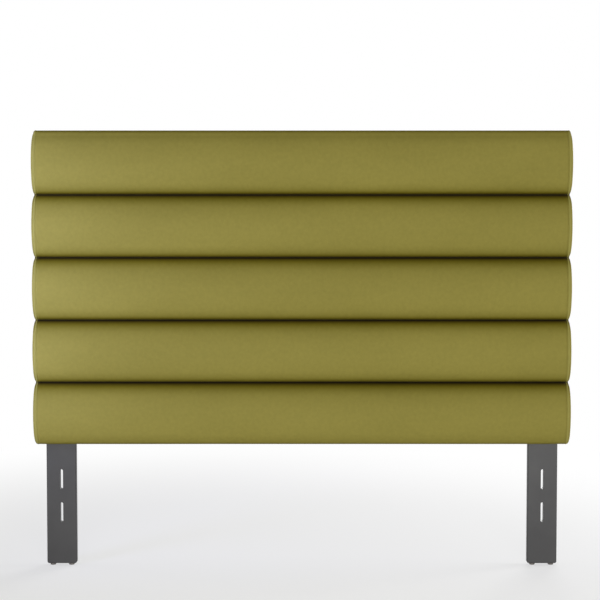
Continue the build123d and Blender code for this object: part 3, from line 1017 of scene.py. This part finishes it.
# %% Give every solid its finish
rails = ["top_rail", "bottom_rail", "corner_blocks", *[f"seam_rail_{n}" for n in range(1, len(covers))]]
finishes = {
    "velvet": velvet, "foam": foam_look, "batting": batting_look, "pine": upright_pine, "plywood": plywood,
    "black_wood": make_black_wood(), "dust_cloth": dust_look, "zinc_steel": zinc,
    "glide_plastic": make_glide_plastic(),
}


def finish_solids():
    for part in frame["record"]["subparts"]:
        solid = frame["nodes"][part["node"]]
        look = rail_pine if part["node"] in rails else finishes[part["material_slot"]]
        for place in solid.material_slots:
            place.material = look


finish_solids()


def ease(name, width):
    """Rounds the edges of a solid. Its triangles are loose, so they are welded first."""
    solid = frame["nodes"][name]
    weld = solid.modifiers.new("weld", "WELD")
    weld.merge_threshold = merge_distance
    eased = solid.modifiers.new("eased edges", "BEVEL")
    eased.width, eased.segments, eased.limit_method, eased.angle_limit = width, 3, "ANGLE", math.radians(35)
    eased.harden_normals = True


for name in ("left_leg", "right_leg"):
    ease(name, width=0.8 * MM)
print("finishes:", sorted(finishes))

# %% [markdown]
# ## Camera
#
# The photograph is taken from a little above the middle of the panel, looking slightly down, from far away
# with a long lens. The focal length is known in pixels of a 600 pixel picture, which gives the lens for any
# sensor.

# %% Camera
picture_px, focal_px = 600, 1302
camera_distance, camera_height, camera_side, camera_pitch = 3.841, 0.9702, -0.0058, 2.518

camera_data = bpy.data.cameras.new("camera")
camera_data.lens = camera_data.sensor_width * focal_px / picture_px
camera = bpy.data.objects.new("camera", camera_data)
camera.location = (camera_side, board_front - camera_distance, camera_height)
camera.rotation_euler = (math.radians(90 - camera_pitch), 0, 0)
bpy.context.scene.collection.objects.link(camera)
bpy.context.scene.camera = camera
print("lens", round(camera_data.lens, 1), "mm")

# %% [markdown]
# ## Light
#
# The photograph is lit softly from the front, from below the height of the camera, so the lower half of each
# channel is the brightest and the seams go dark. A wide soft lamp behind the camera does that. A small bluish
# one at the left brightens that end, and one overhead lights the top edge. The lamps at the sides and behind
# light what the photograph doesn't show, and the world fills the rest.

# %% Lamps and world
def soft_light(name, place, target, size, power, colour=(1, 1, 1), spread=180):
    data = bpy.data.lights.new(name, "AREA")
    data.color, data.spread = colour, math.radians(spread)
    data.shape, data.size, data.size_y, data.energy = "RECTANGLE", size[0], size[1], power
    lamp = bpy.data.objects.new(name, data)
    lamp.location = place
    lamp.rotation_euler = (Vector(target) - Vector(place)).to_track_quat("-Z", "Y").to_euler()
    lamp.visible_camera = False
    bpy.context.scene.collection.objects.link(lamp)


middle, left_end = (0, 0, middle_z), (-0.7, 0, 0.9)
soft_light("front light", (0.25, -4.8, 0.7), middle, (2.6, 1.2), 168)
soft_light("left light", (-1.15, -0.45, 0.9), left_end, (0.2, 1.0), 3.3, (0.5, 0.54, 1), spread=110)
soft_light("top light", (0.2, 0.25, 3.2), middle, (2.4, 0.9), 6)
soft_light("right side light", (3.4, 0.5, 1.3), middle, (1.6, 1.6), 60)
soft_light("left side light", (-3.4, 0.5, 1.3), middle, (1.6, 1.6), 20)
soft_light("back light", (1.4, 3.0, 1.6), middle, (2.0, 1.4), 60)


def seen_directly(tree):
    """1 for rays of the camera, of mirrors and of glass, and 0 for those that light the scene."""
    rays = add(tree, "LightPath").outputs
    seen = maths(tree, "MAXIMUM", rays["Is Camera Ray"], rays["Is Glossy Ray"])
    return maths(tree, "MAXIMUM", seen, rays["Is Transmission Ray"])


def make_world(strength):
    world = bpy.data.worlds.new("studio")
    bpy.context.scene.world = world
    world.use_nodes = True
    tree = world.node_tree
    background = tree.nodes["Background"]
    tree.links.new(ranged(tree, seen_directly(tree), strength, 1), background.inputs["Strength"])
    background.inputs["Color"].default_value = (1, 1, 1, 1)


make_world(strength=0.17)
bpy.context.scene.view_settings.view_transform = "Standard"

# %% [markdown]
# ## Floor
#
# The picture has no floor and no horizon. The floor here is plain and pale. Seen directly it glows white with
# distance, so it meets the white world without a line, while near the legs it still shows their soft shadow.

# %% Floor
floor_shade_r, floor_white_r, floor_glow = 0.9, 2.6, 0.55


def make_floor_look():
    material, tree, shader = new_material("floor")
    shader.inputs["Base Color"].default_value = (0.8, 0.8, 0.8, 1)
    shader.inputs["Roughness"].default_value = 0.9
    shader.inputs["Specular IOR Level"].default_value = 0.1
    far = add(tree, "VectorMath", {0: object_place(tree)}, operation="LENGTH").outputs["Value"]
    ends = {"From Min": floor_shade_r, "From Max": floor_white_r, "To Min": floor_glow, "To Max": 1}
    glow = add(tree, "MapRange", {"Value": far, **ends}, interpolation_type="SMOOTHSTEP").outputs[0]
    share = maths(tree, "MULTIPLY", glow, seen_directly(tree))
    white = add(tree, "Emission", {"Color": (1, 1, 1, 1), "Strength": 1})
    both = add(tree, "MixShader", {0: share, 1: shader.outputs[0], 2: white.outputs[0]})
    tree.links.new(both.outputs[0], tree.nodes["Material Output"].inputs["Surface"])
    return material


def make_floor():
    bm = bmesh.new()
    bmesh.ops.create_grid(bm, x_segments=1, y_segments=1, size=12)
    mesh = bpy.data.meshes.new("floor")
    bm.to_mesh(mesh)
    bm.free()
    mesh.materials.append(make_floor_look())
    floor = bpy.data.objects.new("floor", mesh)
    bpy.context.scene.collection.objects.link(floor)


make_floor()
